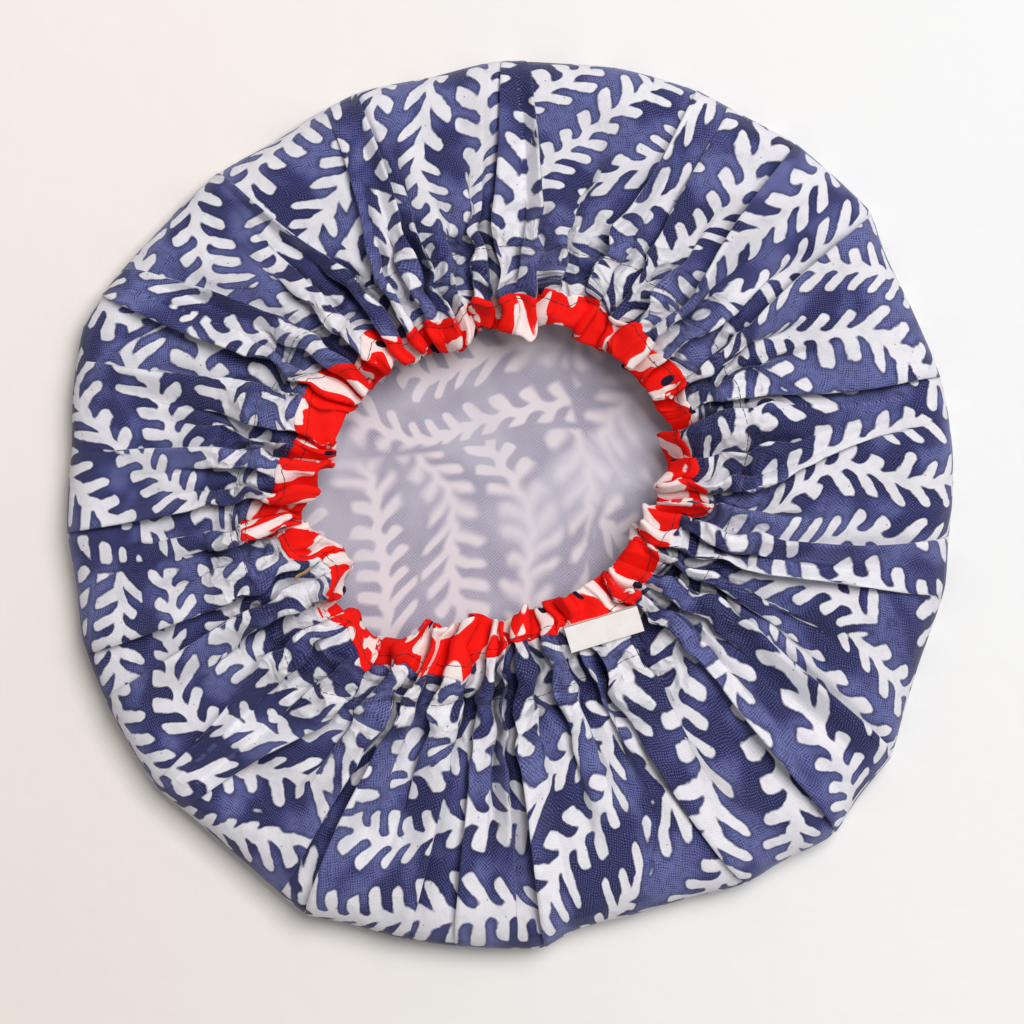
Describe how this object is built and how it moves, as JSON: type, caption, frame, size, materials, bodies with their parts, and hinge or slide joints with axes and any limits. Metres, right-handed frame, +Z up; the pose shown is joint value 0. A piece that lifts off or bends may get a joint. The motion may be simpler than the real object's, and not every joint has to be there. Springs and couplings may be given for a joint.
{
  "type": "shower cap",
  "caption": "Round gathered cloth shower cap lying open side up, with a waterproof lining, an elasticated casing, a bound edge and a small hinged sewn-in label.",
  "frame": {"origin": "middle of the cap's box, on the flat face of the crown that it rests on", "axes": "+Z up out of the mouth, +X to the right and +Y away from the sewn-in label, as the cap lies open side up"},
  "size_m": [0.2918, 0.295, 0.0295],
  "materials": {
    "blue_print_cotton": "crisp printed cotton, white branches on indigo, slight sheen",
    "frosted_lining": "frosted translucent film with the print showing through blurred",
    "knit_elastic": "white knitted elastic",
    "red_print_cotton": "printed cotton, pale pink blots and dark dots on red",
    "dark_thread": "dark red sewing thread",
    "cream_ribbon": "bare woven ribbon, folded",
    "gold_thread": "loose golden thread end"
  },
  "bodies": {
    "cap": {"outer_fabric": "blue_print_cotton", "lining": "frosted_lining", "elastic_band": "knit_elastic", "edge_binding": "red_print_cotton", "casing_thread": "dark_thread", "casing_bobbin_thread": "dark_thread", "binding_thread": "dark_thread", "binding_bobbin_thread": "dark_thread", "thread_tail": "gold_thread"},
    "label": {"woven_label": "cream_ribbon"}
  },
  "joints": [
    {"name": "label_flap", "type": "hinge", "parent": "cap", "child": "label", "pos_m": [0.02974, -0.03722, 0.0278], "axis": [-0.9563, -0.2924, 0], "range_deg": [0, 120]}
  ]
}
